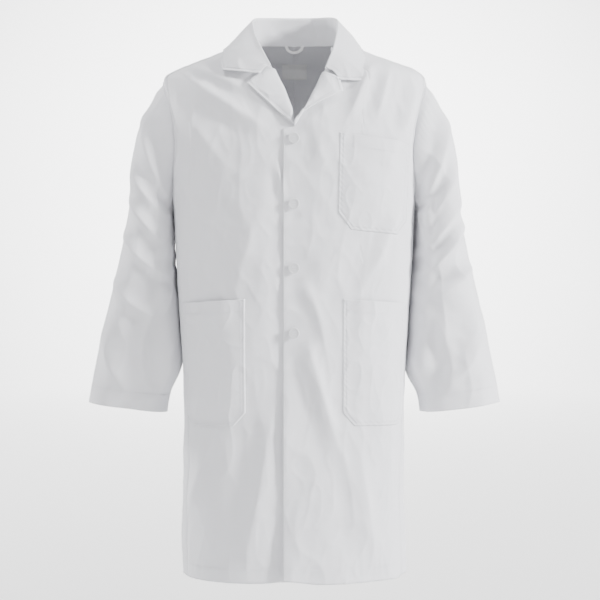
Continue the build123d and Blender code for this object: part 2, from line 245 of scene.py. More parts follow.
def fold_height(points):
    """How far the cloth stands off the form at points on it."""
    x, y, z = points[..., 0], points[..., 1], points[..., 2]
    front, back = smooth_step(0.02, 0.075, -y), smooth_step(0.0, 0.06, y)
    turn = np.arctan2(y / 0.13, x / 0.21)
    low = smooth_step(-0.45, HEM, z)
    out = low * (0.0040 * np.cos(5 * turn + 0.6) + 0.0034 * np.cos(8 * turn - 1.1)
                 + 0.0022 * np.cos(13 * turn + 2.0)) * (0.45 + 0.55 * (1 - front) + 0.3 * back)
    for folds, seen in ((FRONT_FOLDS, front), (BACK_FOLDS, back)):
        for start, end, width, height, lean in folds:
            out = out + seen * ridge(x, z, start, end, width, FOLD_GAIN * height, lean)
    broad = waves(points * np.array([1.0, 1.0, 0.55]), 0.075, 1)
    fine = waves(points * np.array([1.0, 1.0, 0.7]), 0.028, 2)
    tiny = waves(points, 0.011, 3)
    away_from_neck = smooth_step(0.0, 0.07, -z)
    creased = creases(points, 0.062, 5, 5, 0.45)
    sharp = creases(points, 0.030, 6, 6, 0.55)
    uneven = 0.0032 * broad + 0.0011 * fine + 0.0016 * creased + 0.0009 * sharp
    out = out + away_from_neck * uneven + 0.00025 * tiny
    out = out * np.where(y < 0, quiet_round_buttons(x, z), 1.0)
    return out * (1 - 0.85 * smooth_step(0.185, 0.212, np.abs(x)) * beside_sleeve(z))


def on_form(points, lift=0.0):
    """Points of the form moved out to the cloth, and lift further."""
    n = outward(points)
    return points + n * (fold_height(points) + lift)[..., None]


def front_base(x, z):
    """Points of the bare form's front at places seen from the front."""
    a, depth, _ = section(z)
    inside = np.clip(1 - (np.abs(x) / a) ** POWER, 1e-4, 1)
    return np.stack([x + 0 * z, -depth * inside ** (1 / POWER), z + 0 * x], axis=-1)


# ---- meshes --------------------------------------------------------------------------------------
def grid_lengths(points):
    """Distances along the rows and columns of a grid of points, which lay out its weave."""
    across = np.linalg.norm(np.diff(points, axis=1), axis=-1)
    down = np.linalg.norm(np.diff(points, axis=0), axis=-1)
    u = np.concatenate([np.zeros((len(points), 1)), np.cumsum(across, axis=1)], axis=1)
    v = np.concatenate([np.zeros((1, points.shape[1])), np.cumsum(down, axis=0)], axis=0)
    return np.stack([u, v], axis=-1)


def grid_normals(points):
    """Unit normals of a grid of points, by the right-hand rule from down its columns to along its rows."""
    n = np.cross(np.gradient(points, axis=0), np.gradient(points, axis=1))
    return n / (np.linalg.norm(n, axis=-1, keepdims=True) + 1e-12)


def sheet_mesh(name, points, material, facing=None, thickness=CLOTH, closed=False, keep=None):
    """A sheet of cloth from a grid of points. closed says that the last column is the first one again, keep
    which cells are made, and facing a direction or a grid of them that the outside faces. The cloth's
    thickness lies behind the points."""
    rows, columns = points.shape[:2]
    own = columns - 1 if closed else columns
    uv = grid_lengths(points)
    r, c = np.meshgrid(np.arange(rows - 1), np.arange(columns - 1), indexing="ij")
    chosen = np.ones(r.shape, bool) if keep is None else keep
    r, c = r[chosen], c[chosen]
    corners = [(r, c), (r + 1, c), (r + 1, c + 1), (r, c + 1)]
    if facing is not None and np.sum(grid_normals(points) * facing) < 0:
        corners = corners[::-1]
    faces = np.stack([i * own + j % own for i, j in corners], axis=-1)
    mesh = bpy.data.meshes.new(name)
    mesh.from_pydata(points[:, :own].reshape(-1, 3).tolist(), [], faces.tolist())
    layer = mesh.uv_layers.new(name="cloth")
    layer.data.foreach_set("uv", np.stack([uv[i, j] for i, j in corners], axis=1).astype(np.float32).ravel())
    mesh.polygons.foreach_set("use_smooth", [True] * len(faces))
    mesh.materials.append(material)
    piece = bpy.data.objects.new(name, mesh)
    bpy.context.scene.collection.objects.link(piece)
    if keep is not None:
        drop_loose_points(mesh)
    if thickness:
        solid = piece.modifiers.new("thickness", "SOLIDIFY")
        solid.thickness, solid.offset, solid.use_quality_normals = thickness, -1, True
    return piece


def drop_loose_points(mesh):
    """Delete the points that no face uses."""
    shape = bmesh.new()
    shape.from_mesh(mesh)
    bmesh.ops.delete(shape, geom=[v for v in shape.verts if not v.link_faces], context="VERTS")
    shape.to_mesh(mesh)
    shape.free()


def cloth(name, points, facing=None, material=None, closed=False,
          keep=None, thickness=CLOTH, replaced=()):
    """A sheet of cloth, which hides the CAD parts it replaces. Its flat width is its median row, its length
    the longest column and its area that of its cells, held within 0.31 to 0.999 of width times length;
    nothing uses these three."""
    piece = sheet_mesh(name, points, material or COAT_LOOK, facing, thickness, closed, keep)
    laid = grid_lengths(points)
    diagonals = points[1:, 1:] - points[:-1, :-1], points[1:, :-1] - points[:-1, 1:]
    cells = np.linalg.norm(np.cross(*diagonals), axis=-1) / 2
    area = float(cells.sum() if keep is None else cells[keep].sum())
    width, length = round(float(np.median(laid[:, -1, 0])), 3), round(float(laid[-1, :, 1].max()), 3)
    area = round(float(np.clip(area, 0.31 * width * length, 0.999 * width * length)), 5)
    if replaced:
        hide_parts(*replaced)
    return piece


STITCH, STITCH_GAP, THREAD = 2.6 * MM, 0.7 * MM, 0.22 * MM
# Each stitch has four rings: share of its length, share of the thread's radius, and height in radii.
STITCH_RINGS = ((0.0, 0.45, -0.3), (0.25, 1.0, 0.55), (0.75, 1.0, 0.55), (1.0, 0.45, -0.3))


def resample(path, step):
    """Points evenly spaced along a path of points."""
    lengths = travelled(path)
    count = max(2, int(lengths[-1] / step))
    at = np.linspace(0, lengths[-1], count)
    return np.stack([np.interp(at, lengths, path[:, k]) for k in range(path.shape[1])], axis=1)


def raised(points, normals, gap):
    """A stitching path: points of the cloth moved off it by a gap, with the direction off the cloth."""
    return np.concatenate([points + normals * gap, normals], axis=-1)


def stitch_rows(name, rows, body, pitch=STITCH + STITCH_GAP, length=STITCH, radius=THREAD):
    """Rows of stitches. Each row is a stitching path, six numbers a point: place and direction."""
    vertices, faces = [], []
    for row in rows:
        even = resample(np.asarray(row, float), pitch)
        places, up = even[:, :3], even[:, 3:]
        for i in range(len(places) - 1):
            a, b = places[i], places[i + 1]
            span = np.linalg.norm(b - a)
            if span < 1e-6:
                continue
            along = (b - a) / span
            n = up[i] / (np.linalg.norm(up[i]) + 1e-9)
            side = np.cross(along, n)
            base = len(vertices)
            for t, swell, lift in STITCH_RINGS:
                middle = a + along * (t * length) + n * (lift * radius)
                for turn in range(5):
                    angle = 2 * math.pi * turn / 5
                    reach = math.cos(angle) * side + math.sin(angle) * n
                    vertices.append(middle + reach * (radius * swell))
            for k in range(3):
                for turn in range(5):
                    nxt = (turn + 1) % 5
                    first, second = base + 5 * k, base + 5 * (k + 1)
                    faces.append((first + turn, second + turn, second + nxt, first + nxt))
            faces.append(tuple(base + t for t in range(5)))
            faces.append(tuple(base + 15 + t for t in range(4, -1, -1)))
    mesh = bpy.data.meshes.new(name)
    mesh.from_pydata([tuple(v) for v in vertices], [], faces)
    mesh.polygons.foreach_set("use_smooth", [True] * len(faces))
    mesh.materials.append(THREAD_LOOK)
    piece = bpy.data.objects.new(name, mesh)
    bpy.context.scene.collection.objects.link(piece)
    if body:
        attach(piece, body)
    return piece


# ---- materials -----------------------------------------------------------------------------------
def new_material(name, colour, roughness, sheen=0.0):
    """A material with its shader node, for the recipes below."""
    material = bpy.data.materials.new(name)
    material.use_nodes = True
    shader = material.node_tree.nodes["Principled BSDF"]
    shader.inputs["Base Color"].default_value = (*colour, 1)
    shader.inputs["Roughness"].default_value = roughness
    shader.inputs["Sheen Weight"].default_value = sheen
    return material, shader


def link(material, source, target):
    """Join two sockets of a material's nodes."""
    material.node_tree.links.new(source, target)


def maths(material, operation, first, second=None):
    """A maths node fed by sockets or numbers."""
    node = material.node_tree.nodes.new("ShaderNodeMath")
    node.operation = operation
    for socket, value in zip(node.inputs, (first, second)):
        if value is None:
            continue
        if isinstance(value, (int, float)):
            socket.default_value = value
        else:
            link(material, value, socket)
    return node.outputs[0]


def noise_texture(material, vector, scale, detail, roughness=0.5):
    """A noise texture's value over the given coordinates."""
    node = material.node_tree.nodes.new("ShaderNodeTexNoise")
    node.inputs["Scale"].default_value = scale
    node.inputs["Detail"].default_value = detail
    node.inputs["Roughness"].default_value = roughness
    link(material, vector, node.inputs["Vector"])
    return node.outputs[0]


def woven(name, colour, pitch, depth, roughness=0.86):
    """Twill: diagonal ribs crossed by single threads, with a little unevenness in colour and lie."""
    material, shader = new_material(name, colour, roughness, sheen=0.25)
    nodes = material.node_tree.nodes
    coords = nodes.new("ShaderNodeTexCoord")
    split = nodes.new("ShaderNodeSeparateXYZ")
    link(material, coords.outputs["UV"], split.inputs[0])
    u, v = split.outputs[0], split.outputs[1]
    turn = 2 * math.pi / pitch
    diagonal = maths(material, "SINE", maths(material, "MULTIPLY", maths(material, "ADD", u, v), turn))
    weft = maths(material, "SINE", maths(material, "MULTIPLY", v, 2 * turn))
    weave = maths(material, "ADD", diagonal, maths(material, "MULTIPLY", weft, 0.5))
    slub = noise_texture(material, coords.outputs["UV"], 420, 2)
    crumple = noise_texture(material, coords.outputs["Object"], 26, 3, 0.55)
    height = maths(material, "ADD", maths(material, "MULTIPLY", weave, 0.35), slub)
    fine = nodes.new("ShaderNodeBump")
    fine.inputs["Strength"].default_value = 0.35
    fine.inputs["Distance"].default_value = depth
    link(material, height, fine.inputs["Height"])
    broad = nodes.new("ShaderNodeBump")
    broad.inputs["Strength"].default_value = 0.30
    broad.inputs["Distance"].default_value = 1.6 * MM
    link(material, crumple, broad.inputs["Height"])
    link(material, broad.outputs[0], fine.inputs["Normal"])
    link(material, fine.outputs[0], shader.inputs["Normal"])
    tone = noise_texture(material, coords.outputs["Object"], 9, 4, 0.6)
    shade = nodes.new("ShaderNodeValToRGB")
    shade.color_ramp.elements[0].position, shade.color_ramp.elements[1].position = 0.25, 0.8
    shade.color_ramp.elements[0].color = (*(c * 0.965 for c in colour), 1)
    shade.color_ramp.elements[1].color = (*colour, 1)
    mixed = maths(material, "ADD", maths(material, "MULTIPLY", weave, 0.05), tone)
    link(material, mixed, shade.inputs[0])
    link(material, shade.outputs[0], shader.inputs["Base Color"])
    return material


def plastic(name, colour):
    """Moulded button plastic with a faint pearly cloud in it."""
    material, shader = new_material(name, colour, 0.28)
    shader.inputs["Coat Weight"].default_value = 0.35
    shader.inputs["Coat Roughness"].default_value = 0.12
    shader.inputs["Subsurface Weight"].default_value = 0.12
    shader.inputs["Subsurface Radius"].default_value = (0.004, 0.004, 0.004)
    nodes = material.node_tree.nodes
    coords = nodes.new("ShaderNodeTexCoord")
    cloud = noise_texture(material, coords.outputs["Object"], 160, 3)
    shade = nodes.new("ShaderNodeValToRGB")
    shade.color_ramp.elements[0].color = (*(c * 0.9 for c in colour), 1)
    shade.color_ramp.elements[1].color = (*colour, 1)
    link(material, cloud, shade.inputs[0])
    link(material, shade.outputs[0], shader.inputs["Base Color"])
    return material


COAT_LOOK = woven("coat twill", (0.755, 0.757, 0.79), 1.3 * MM, 0.26 * MM)
TAPE_LOOK = woven("woven tape", (0.82, 0.82, 0.82), 0.9 * MM, 0.15 * MM)
THREAD_LOOK, _ = new_material("sewing thread", (0.735, 0.735, 0.77), 0.7, sheen=0.2)
BUTTON_LOOK = plastic("button plastic", (0.71, 0.715, 0.735))

for number in range(1, 5):
    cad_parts[f"button_{number}"].data.materials[0] = BUTTON_LOOK
    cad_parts[f"button_stitches_{number}"].data.materials[0] = THREAD_LOOK
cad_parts["button_shanks"].data.materials[0] = THREAD_LOOK
for name in ("hanger_loop", "neck_label"):
    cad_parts[name].data.materials[0] = TAPE_LOOK


# ---- fronts --------------------------------------------------------------------------------------
# The roll lines as seen from the front, from the neck down: the wearer's left, then right.
ROLL = {
    1: [(0.0865, 0.0), (0.079, -0.012), (0.070, -0.036), (0.051, -0.073), (0.035, -0.106), (0.019, -0.139),
        (0.0, BREAK_Z), (EDGE_X, BREAK_Z - 0.006)],
    -1: [(0.0865, 0.0), (0.072, -0.012), (0.058, -0.030), (0.040, -0.056), (0.020, -0.092), (0.005, -0.130),
         (-0.001, BREAK_Z + 0.003), (EDGE_X, BREAK_Z - 0.002)],
}
REFERENCE_Z = -0.4  # columns of the fronts are spaced along the form at this height


def roll_height(side, x):
    """Height of the roll line at places across one front, measured towards its own side."""
    line = np.array(ROLL[side])[::-1]
    return np.interp(x, line[:, 0], line[:, 1])


def side_x():
    """Where the fronts end on the form at the reference height."""
    a, depth, _ = section(REFERENCE_Z)
    return float(a * (1 - (-SIDE_Y / depth) ** POWER) ** (1 / POWER))


def front_columns(near, count):
    """Places across a front from near the centre to the side, evenly spaced round the form."""
    x = np.linspace(near, side_x(), 800)
    base = front_base(x, np.full_like(x, REFERENCE_Z))
    lengths = travelled(base)
    return np.interp(np.linspace(0, lengths[-1], count), lengths, x)


def column_x(x_ref, z):
    """Place across at height z of the thread line that crosses the reference height at x_ref. Lines near
    the centre hang straight, and those near the side and over the shoulder follow the form."""
    a, _, _ = section(z)
    a_ref, _, _ = section(REFERENCE_Z)
    follow = smooth_step(-0.16, -0.075, z)
    share = (x_ref / side_x()) ** 2 * (1 - follow) + follow
    return x_ref * (1 + (a / a_ref - 1) * share)


def front_lift(side, x, z):
    """How far a front stands off the form: the left one gapes a little at its edge, and the right one dips
    to pass under it."""
    if side > 0:
        gape = 0.0036 * bump(z, -0.74, 0.07) + 0.0060 * smooth_step(-0.86, HEM, z)
        dip = -0.0022 * (1 - quiet_round_buttons(x, z))  # the buttons stand clear of the cloth
        return 0.0010 + dip + gape * (1 - smooth_step(EDGE_X, EDGE_X + 0.05, x))
    under = 1 - smooth_step(0.022, 0.062, x)
    return -0.0030 * under - 0.0030 * under * smooth_step(-0.86, HEM, z)


def roll_tops(side, x_ref):
    """Height at which each thread line of a front meets the roll line."""
    top = np.full(len(x_ref), -0.08)
    for _ in range(30):
        top = roll_height(side, column_x(x_ref, top)) * 0.5 + top * 0.5
    return top


def front_grid(side, near, columns=96):
    """The cloth of one front from its roll line to its hem, as a grid of points."""
    x_ref = front_columns(near, columns)
    top = roll_tops(side, x_ref)
    edge_z = hem_line(side, x_ref)
    z = np.stack([heights(t, HEM, ROWS) for t in top], axis=1)
    z = top + (z - top) * ((edge_z - top) / (HEM - top))
    x = column_x(x_ref[None, :], z)
    base = front_base(side * x, z)
    return base, on_form(base, front_lift(side, x, z))


def hem_line(side, x_ref):
    """The hem's height across a front. It rises at the front edges, where the facings hold it up."""
    rise = 0.007 * (1 - smooth_step(EDGE_X, 0.05, x_ref)) if side > 0 else 0.004 * bump(x_ref, 0, 0.05)
    return HEM + 0.002 + rise + 0 * x_ref


def with_front(piece, side):
    """The left front's pieces keep their place with their transform baked in, and the right front's are
    attached to the coat's body.
    """
    if side > 0:
        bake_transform(piece)
    else:
        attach(piece, "coat_body")
    return piece


def side_rows(count):
    """Heights down the seam between a front and a back."""
    return heights(0, HEM, count) * ((HEM + 0.002) / HEM)


def back_grid(side, columns=120, rows=ROWS):
    """The bare form's back half from the front's side edge to the centre back, as a grid of points."""
    grid = []
    for z in side_rows(rows):
        a, front, back = (float(v) for v in section(z))
        x = float(column_x(np.array(side_x()), np.array(z)))
        start = -math.acos(min(1, (x / a)) ** (POWER / 2))
        t = np.linspace(start, math.pi / 2, 500)
        px = a * np.clip(np.cos(t), 0, 1) ** (2 / POWER)
        py = np.where(t < 0, -front, back) * np.abs(np.sin(t)) ** (2 / POWER)
        lengths = np.concatenate([[0], np.cumsum(np.hypot(np.diff(px), np.diff(py)))])
        at = np.linspace(0, lengths[-1], columns)
        grid.append(np.stack([side * np.interp(at, lengths, px), np.interp(at, lengths, py),
                              np.full(columns, z)], axis=-1))
    return np.array(grid)


# The armhole's ellipse, seen from the side.
ARM_Y, ARM_Z, ARM_DEPTH, ARM_HEIGHT = 8 * MM, -192 * MM, 60 * MM, 112 * MM


def armhole_reach(points):
    """0 at the armhole's middle and 1 on its ellipse, growing with the square of the distance."""
    return ((points[..., 1] - ARM_Y) / ARM_DEPTH) ** 2 + ((points[..., 2] - ARM_Z) / ARM_HEIGHT) ** 2


def outside_armhole(base, scale):
    """Which cells of a grid lie outside the armhole's ellipse, grown or shrunk by scale."""
    middle = (base[:-1, :-1] + base[1:, 1:]) / 2
    return (armhole_reach(middle) > scale**2) | (np.abs(middle[..., 0]) < 0.15)


def side_base(side, y, z):
    """Points of the bare form's side at places seen from the side."""
    a, front, back = section(z)
    depth = np.where(y < 0, front, back)
    x = a * np.clip(1 - (np.abs(y) / depth) ** POWER, 1e-4, 1) ** (1 / POWER)
    return np.stack([side * x, y + 0 * x, z + 0 * x], axis=-1)


def path_on(base, lift=0.4 * MM):
    """A stitching path: places on the cloth over points of the form, with the direction off the cloth."""
    return np.concatenate([on_form(base, lift), outward(base)], axis=-1)


for side, word in SIDES:
    near = EDGE_X if side > 0 else -0.020
    base, points = front_grid(side, near)
    piece = cloth(f"cloth_front_{word}", points, facing=outward(base), keep=outside_armhole(base, HOLE_SCALE),
                  replaced=(f"front_{word}", f"front_{word}_chest"))
    with_front(piece, side)


# ---- inside of the fronts ------------------------------------------------------------------------
FACING_WIDTH, HEM_DEPTH = 66 * MM, 28 * MM


def inside_strip(side, near, far, top=None, rows=ROWS, columns=24):
    """Cloth turned to the inside along a front's edge or hem."""
    x_ref = np.linspace(near, far, columns)
    upper = roll_tops(side, x_ref) if top is None else np.full(columns, top)
    lower = hem_line(side, x_ref) + 0.8 * MM
    z = upper + np.linspace(0, 1, rows)[:, None] * (lower - upper)
    base = front_base(side * column_x(x_ref[None, :], z), z)
    return base, on_form(base, front_lift(side, side * base[..., 0], z) - 1.3 * MM)


def front_path(side, line, extra=0.35 * MM):
    """A stitching path over one front along a line of places, measured towards its own side."""
    line = resample(np.array(line, float), 1.5 * MM)
    base = front_base(side * line[:, 0], line[:, 1])
    return path_on(base, front_lift(side, line[:, 0], line[:, 1]) + extra)


for side, word in SIDES:
    edge = EDGE_X + 1.5 * MM if side > 0 else -0.0185
    base, points = inside_strip(side, edge, FACING_WIDTH + edge)
    piece = cloth(f"cloth_facing_{word}", points, facing=-outward(base), replaced=(f"facing_{word}",))
    with_front(piece, side)
    base, points = inside_strip(side, FACING_WIDTH + edge, side_x() - 1 * MM, HEM + HEM_DEPTH, rows=10,
                                columns=70)
    piece = cloth(f"cloth_hem_front_{word}", points, facing=-outward(base),
                  replaced=(f"hem_front_{word}",))
    with_front(piece, side)
    x_ref = np.linspace(EDGE_X + 6 * MM, side_x() - 2 * MM, 200)
    z = hem_line(side, x_ref) + HEM_DEPTH - 2 * MM
    x = column_x(x_ref, z)
    rows = [front_path(side, list(zip(x, z)))]
    if side > 0:
        x = EDGE_X + 6 * MM
        rows.append(front_path(side, [(x, BREAK_Z - 0.012), (x, HEM + 0.016)]))
    with_front(stitch_rows(f"stitches_front_{word}", rows, None), side)


# ---- back ----------------------------------------------------------------------------------------
VENT_TOP, VENT_LAP = -0.640, 36 * MM


def back_lift(side, base):
    """The centre seam draws the backs in a little, and the vent's left side lies over its right."""
    x, z = np.abs(base[..., 0]), base[..., 2]
    seam = -0.0012 * np.exp(-((x / 0.005) ** 2)) * smooth_step(VENT_TOP - 0.01, VENT_TOP + 0.02, z)
    low = smooth_step(VENT_TOP + 0.01, VENT_TOP - 0.05, z) * (base[..., 1] > 0)
    step = (0.0012 if side > 0 else -0.0022) * (1 - smooth_step(0.02, 0.06, x)) * low
    return seam + step


for side, word in SIDES:
    base = back_grid(side)
    points = on_form(base, back_lift(side, base))
    piece = cloth(f"cloth_back_{word}", points, facing=outward(base), keep=outside_armhole(base, HOLE_SCALE),
                  replaced=(f"back_{word}",) + (("back_seam",) if side > 0 else ()))
    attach(piece, "coat_body")


# ---- sleeves -------------------------------------------------------------------------------------
# Stations down a sleeve: inner x and z, outer x and z, half depth and middle y.
SLEEVE = np.array([
    (0.236, -0.296, 0.254, -0.076, 0.064, 0.008),
    (0.238, -0.326, 0.296, -0.186, 0.073, 0.009),
    (0.234, -0.352, 0.314, -0.322, 0.073, 0.010),
    (0.229, -0.452, 0.340, -0.444, 0.067, 0.008),
    (0.225, -0.566, 0.365, -0.554, 0.059, 0.004),
    (0.238, -0.700, 0.388, -0.682, 0.046, -0.002),
])
CUFF_HEM, SLEEVE_LENGTH = 34 * MM, 0.53

# Folds of the sleeves seen from the front and back, for the wearer's left and right.
SLEEVE_FOLDS = {
    (1, "front"): [
        ((0.266, -0.090), (0.243, -0.300), 0.012, 0.0052, 0.4),
        ((0.292, -0.150), (0.244, -0.350), 0.012, 0.0056, -0.3),
        ((0.310, -0.235), (0.238, -0.400), 0.013, 0.0066, 0.3),
        ((0.318, -0.300), (0.236, -0.445), 0.012, 0.0058, 0.2),
        ((0.345, -0.405), (0.240, -0.480), 0.014, 0.0046, -0.2),
        ((0.350, -0.500), (0.300, -0.640), 0.018, 0.0034, 0.3),
        ((0.262, -0.520), (0.285, -0.670), 0.016, 0.0028, -0.2),
    ],
    (-1, "front"): [
        ((-0.262, -0.095), (-0.240, -0.290), 0.012, 0.0048, -0.4),
        ((-0.296, -0.140), (-0.246, -0.330), 0.012, 0.0056, 0.3),
        ((-0.312, -0.215), (-0.240, -0.385), 0.013, 0.0062, -0.3),
        ((-0.326, -0.330), (-0.240, -0.440), 0.012, 0.0050, -0.2),
        ((-0.345, -0.430), (-0.250, -0.520), 0.015, 0.0040, 0.2),
        ((-0.352, -0.520), (-0.310, -0.660), 0.018, 0.0034, -0.3),
        ((-0.258, -0.500), (-0.272, -0.650), 0.014, 0.0030, 0.2),
    ],
    (1, "back"): [
        ((0.266, -0.110), (0.245, -0.310), 0.014, 0.0052, 0.3),
        ((0.305, -0.200), (0.240, -0.360), 0.014, 0.0056, -0.3),
        ((0.325, -0.330), (0.236, -0.430), 0.013, 0.0054, 0.2),
        ((0.345, -0.470), (0.250, -0.560), 0.016, 0.0046, 0.2),
        ((0.355, -0.560), (0.320, -0.670), 0.018, 0.0030, 0.2),
    ],
    (-1, "back"): [
        ((-0.266, -0.115), (-0.245, -0.300), 0.014, 0.0050, -0.3),
        ((-0.302, -0.215), (-0.240, -0.370), 0.014, 0.0056, 0.3),
        ((-0.328, -0.320), (-0.236, -0.440), 0.013, 0.0050, -0.2),
        ((-0.340, -0.455), (-0.250, -0.545), 0.016, 0.0044, -0.2),
        ((-0.355, -0.570), (-0.318, -0.670), 0.018, 0.0030, -0.2),
    ],
}


SLEEVE_GAIN = 2.3  # every fold's height on a sleeve is this many times the one listed


def sleeve_rings(side, shares, around=181):
    """The bare sleeve's rings at shares of its length, from the armhole to the cuff, as a closed grid."""
    middles = (SLEEVE[:, :2] + SLEEVE[:, 2:4]) / 2
    keys = travelled(middles)
    rows = curve(keys / keys[-1], SLEEVE, shares)
    turn = np.linspace(0, 2 * math.pi, around)
    c, t = np.cos(turn), np.sin(turn)
    middle, reach = (rows[:, :2] + rows[:, 2:4]) / 2, (rows[:, 2:4] - rows[:, :2]) / 2
    x = middle[:, :1] + reach[:, :1] * c
    z = middle[:, 1:2] + reach[:, 1:2] * c
    fullness = 1 + 0.05 * np.sin(2 * turn) ** 2
    y = rows[:, 5:6] - rows[:, 4:5] * t * fullness
    grid = np.stack([side * x, y, z], axis=-1)
    hole = on_form(round_armhole(side, turn))
    first = np.stack([side * (middle[0, 0] + reach[0, 0] * c), rows[0, 5] - rows[0, 4] * t * fullness,
                      middle[0, 1] + reach[0, 1] * c], axis=-1)
    fade = (1 - smooth_step(0, 0.16, np.asarray(shares)))[:, None, None]
    return grid + fade * (hole - first)


def round_armhole(side, turn, wider=1.0, higher=1.0):
    """Points of the bare form round the armhole, from its top round the front, grown both ways."""
    y = ARM_Y - wider * ARM_DEPTH * np.sin(turn)
    return side_base(side, y, ARM_Z + higher * ARM_HEIGHT * np.cos(turn))


def sleeve_normals(side, grid):
    """The sleeve's outward directions, with the two ends of each ring joined."""
    wide = np.concatenate([grid[:, -2:-1], grid, grid[:, 1:2]], axis=1)
    n = grid_normals(wide)[:, 1:-1]
    middle = grid.mean(axis=1, keepdims=True)
    return n if np.sum(n * (grid - middle)) > 0 else -n


def sleeve_cloth(side, shares, extra=0.0):
    """The sleeve's cloth: its bare rings, folded."""
    bare = sleeve_rings(side, shares)
    n = sleeve_normals(side, bare)
    s = np.asarray(shares)[:, None]
    x, z = bare[..., 0], bare[..., 2]
    facing_front, facing_back = smooth_step(0.05, 0.55, -n[..., 1]), smooth_step(0.05, 0.55, n[..., 1])
    out = np.zeros(x.shape)
    for face, seen in (("front", facing_front), ("back", facing_back)):
        for start, end, width, height, lean in SLEEVE_FOLDS[side, face]:
            out = out + seen * ridge(x, z, start, end, width, SLEEVE_GAIN * height, lean, side * 0.5)
    # bunching in the crook of the elbow, on the side towards the body
    inner = smooth_step(0.1, 0.8, -side * n[..., 0])
    crook = bump(z, -0.415, 0.055)
    waved = 0.5 - 0.5 * np.cos((z + 0.4) / 0.0062 + 0.6 * np.sin(bare[..., 1] / 0.02))
    out = out * (1 - 0.75 * inner * beside_sleeve(z)) - inner * crook * 0.0022 * waved
    out = out * smooth_step(0.0, 0.10, s) * (1 - 0.75 * smooth_step(0.86, 1.0, s))
    gap = np.interp(-z, -SLEEVE[:, 1], SLEEVE[:, 0]) - section(z)[0]
    out = out + inner**2 * beside_sleeve(z) * np.maximum(gap - 1.5 * MM, 0)
    turn = np.linspace(0, 2 * math.pi, bare.shape[1])[None, :]
    head = (0.5 + 0.5 * np.cos(turn)) ** 2
    out = out + head * smooth_step(-0.012, 0.03, s) * (1 - smooth_step(0.06, 0.36, s)) * 0.0070
    out = out + head * bump(s, 0.03, 0.025) * 0.0008 * np.sin(turn * 46 + 3 * np.sin(turn * 5))
    seam = smooth_step(0.0, 0.02, s)
    points = waves(bare[:, :-1], 0.045, 4 + side) * 0.0024 + waves(bare[:, :-1], 0.018, 8 + side) * 0.0008
    slanted = bare[:, :-1] * np.array([1.0, 1.0, 0.5]) + np.array([0, 0, 0.4 * side]) * bare[:, :-1, :1]
    points = points + 0.0030 * creases(slanted, 0.055, 13 + side, 4)
    outer = smooth_step(0.3, 0.95, side * n[..., 0])
    soft = np.concatenate([points, points[:, :1]], axis=1) * (1 - 0.65 * outer)
    out = out + seam * soft * (1 - 0.5 * smooth_step(0.9, 1.0, s)) + extra
    wave = 0.0024 * np.cos(3 * turn + side) + 0.0016 * np.cos(5 * turn + 1.0)
    return bare + n * (out + wave * smooth_step(0.7, 1.0, s))[..., None]


for side, word in SIDES:
    shares = np.concatenate([np.linspace(0, 0.06, 12, endpoint=False), np.linspace(0.06, 1, 190)])
    grid = sleeve_cloth(side, shares)
    normals = sleeve_normals(side, grid)
    piece = cloth(f"cloth_sleeve_{word}", grid, facing=normals, closed=True, replaced=(f"sleeve_{word}",))
    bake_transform(piece)
    hem_share = 1 - CUFF_HEM / SLEEVE_LENGTH
    inner = sleeve_cloth(side, np.linspace(hem_share, 0.9985, 16), extra=-1.2 * MM)
    piece = cloth(f"cloth_sleeve_hem_{word}", inner, facing=-sleeve_normals(side, inner), closed=True,
                  replaced=(f"sleeve_hem_{word}",))
    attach(piece, f"sleeve_{word}")
    row = sleeve_cloth(side, np.array([hem_share - 0.004, hem_share, hem_share + 0.004]))
    path = raised(row, sleeve_normals(side, row), 0.4 * MM)[1]
    stitch_rows(f"stitches_cuff_{word}", [path], f"sleeve_{word}")
    turn = np.linspace(0, 2 * math.pi, 400)
    rows = []
    for grown in (0.022, 0.080):
        rows.append(path_on(round_armhole(side, turn, 1 + grown, 1 + 0.55 * grown), 1.75 * MM))
    stitch_rows(f"stitches_armhole_{word}", rows, "coat_body")


def armhole_seam(side, word):
    """The felled seam round an armhole, raised on the body's side."""
    turn, scale = np.meshgrid(np.linspace(0, 2 * math.pi, 241), np.linspace(0, 1, 8))
    reach = 1 + np.array([0.10, 0.055])[:, None, None] * scale
    base = round_armhole(side, turn, *reach)
    lift = 1.5 * MM * np.clip(1 - (2 * scale - 1) ** 6, 0, 1) - 0.6 * MM * (scale < 0.01)
    piece = cloth(f"cloth_armhole_seam_{word}", on_form(base, lift), facing=outward(base), closed=True,
                  thickness=0.4 * MM)
    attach(piece, "coat_body")


for side, word in SIDES:
    armhole_seam(side, word)


# ---- pockets -------------------------------------------------------------------------------------
# Outlines seen from the front: the mouth from the centre side outwards, then the bottom back again.
CHEST_POCKET = [(0.083, -0.178), (0.214, -0.195), (0.208, -0.340), (0.189, -0.365), (0.104, -0.356),
                (0.080, -0.324)]
LOWER_POCKET = [(0.089, -0.482), (0.208, -0.491), (0.199, -0.703), (0.188, -0.718), (0.110, -0.715),
                (0.088, -0.690)]
# How far each mouth gapes, and at which share of its width most.
POCKET_GAPE = {"chest_pocket": (0.0062, 0.66), "lower_pocket_left": (0.0048, 0.45),
               "lower_pocket_right": (0.0052, 0.5)}


def pocket_bottom(p, u):
    """Places along a pocket's bottom edge at shares of its width."""
    x = p[5, 0] + u * (p[2, 0] - p[5, 0])
    return x, np.interp(x, p[[5, 4, 3, 2], 0], p[[5, 4, 3, 2], 1])


def from_sewn_edges(p, place):
    """Distance of places from the nearest of a pocket's five sewn edges."""
    edge = np.full(place.shape[:-1], 1.0)
    for first, second in ((0, 5), (5, 4), (4, 3), (3, 2), (2, 1)):
        a, b = p[first], p[second]
        t = np.clip(((place - a) @ (b - a)) / ((b - a) @ (b - a)), 0, 1)
        edge = np.minimum(edge, np.linalg.norm(place - a - t[..., None] * (b - a), axis=-1))
    return edge


